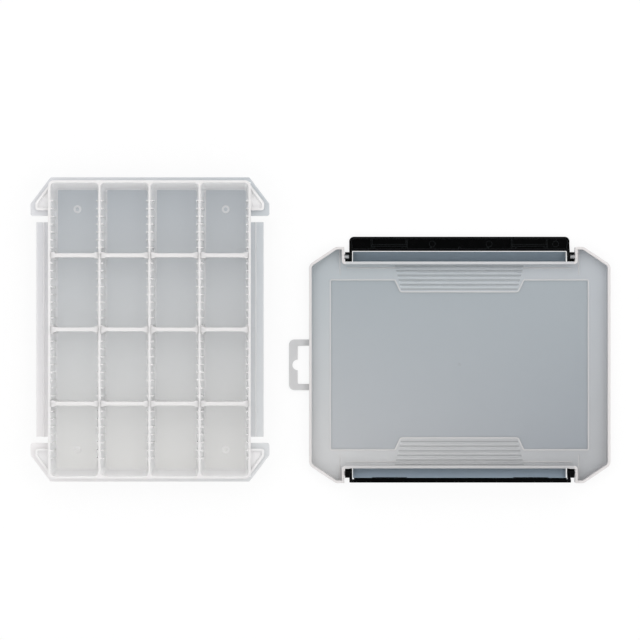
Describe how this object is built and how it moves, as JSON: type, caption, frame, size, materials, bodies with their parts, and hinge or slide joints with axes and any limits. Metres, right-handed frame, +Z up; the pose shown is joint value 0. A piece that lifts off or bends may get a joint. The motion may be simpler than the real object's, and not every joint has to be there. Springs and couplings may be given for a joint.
{
  "type": "compartment storage box",
  "caption": "Flat translucent storage box taken apart: tray with ribbed channels and pull-out dividers, and a lid with a hang tab and black snap latches on both long sides.",
  "frame": {"origin": "middle of the tray's underside, on the surface that the tray and the lid lie on", "axes": "+X from the tray to the lid beside it, +Y along the tray's long side, +Z up out of the tray"},
  "size_m": [0.4869, 0.2569, 0.0372],
  "materials": {
    "tray_plastic": "translucent satin",
    "divider_plastic": "translucent satin",
    "lid_plastic": "translucent satin",
    "latch_plastic": "glossy black"
  },
  "bodies": {
    "tray": {"tray": "tray_plastic"},
    "lid": {"lid": "lid_plastic"},
    "front_latch": {"front_latch": "latch_plastic"},
    "rear_latch": {"rear_latch": "latch_plastic"},
    "divider_r1_c1": {"divider_r1_c1": "divider_plastic"},
    "divider_r1_c2": {"divider_r1_c2": "divider_plastic"},
    "divider_r1_c3": {"divider_r1_c3": "divider_plastic"},
    "divider_r1_c4": {"divider_r1_c4": "divider_plastic"},
    "divider_r2_c1": {"divider_r2_c1": "divider_plastic"},
    "divider_r2_c2": {"divider_r2_c2": "divider_plastic"},
    "divider_r2_c3": {"divider_r2_c3": "divider_plastic"},
    "divider_r2_c4": {"divider_r2_c4": "divider_plastic"},
    "divider_r3_c1": {"divider_r3_c1": "divider_plastic"},
    "divider_r3_c2": {"divider_r3_c2": "divider_plastic"},
    "divider_r3_c3": {"divider_r3_c3": "divider_plastic"},
    "divider_r3_c4": {"divider_r3_c4": "divider_plastic"}
  },
  "joints": [
    {"name": "lid_lift", "type": "slide", "parent": "tray", "child": "lid", "axis": [0, 0, 1], "range_m": [0, 0.06]},
    {"name": "front_latch_hinge", "type": "hinge", "parent": "lid", "child": "front_latch", "pos_m": [0.26, 0.0612, 0.0072], "axis": [1, 0, 0], "range_deg": [0, 90]},
    {"name": "rear_latch_hinge", "type": "hinge", "parent": "lid", "child": "rear_latch", "pos_m": [0.26, -0.1212, 0.0072], "axis": [1, 0, 0], "range_deg": [0, 90]},
    {"name": "divider_r1_c1_pull", "type": "slide", "parent": "tray", "child": "divider_r1_c1", "axis": [0, 0, 1], "range_m": [0, 0.04]},
    {"name": "divider_r1_c2_pull", "type": "slide", "parent": "tray", "child": "divider_r1_c2", "axis": [0, 0, 1], "range_m": [0, 0.04]},
    {"name": "divider_r1_c3_pull", "type": "slide", "parent": "tray", "child": "divider_r1_c3", "axis": [0, 0, 1], "range_m": [0, 0.04]},
    {"name": "divider_r1_c4_pull", "type": "slide", "parent": "tray", "child": "divider_r1_c4", "axis": [0, 0, 1], "range_m": [0, 0.04]},
    {"name": "divider_r2_c1_pull", "type": "slide", "parent": "tray", "child": "divider_r2_c1", "axis": [0, 0, 1], "range_m": [0, 0.04]},
    {"name": "divider_r2_c2_pull", "type": "slide", "parent": "tray", "child": "divider_r2_c2", "axis": [0, 0, 1], "range_m": [0, 0.04]},
    {"name": "divider_r2_c3_pull", "type": "slide", "parent": "tray", "child": "divider_r2_c3", "axis": [0, 0, 1], "range_m": [0, 0.04]},
    {"name": "divider_r2_c4_pull", "type": "slide", "parent": "tray", "child": "divider_r2_c4", "axis": [0, 0, 1], "range_m": [0, 0.04]},
    {"name": "divider_r3_c1_pull", "type": "slide", "parent": "tray", "child": "divider_r3_c1", "axis": [0, 0, 1], "range_m": [0, 0.04]},
    {"name": "divider_r3_c2_pull", "type": "slide", "parent": "tray", "child": "divider_r3_c2", "axis": [0, 0, 1], "range_m": [0, 0.04]},
    {"name": "divider_r3_c3_pull", "type": "slide", "parent": "tray", "child": "divider_r3_c3", "axis": [0, 0, 1], "range_m": [0, 0.04]},
    {"name": "divider_r3_c4_pull", "type": "slide", "parent": "tray", "child": "divider_r3_c4", "axis": [0, 0, 1], "range_m": [0, 0.04]}
  ]
}
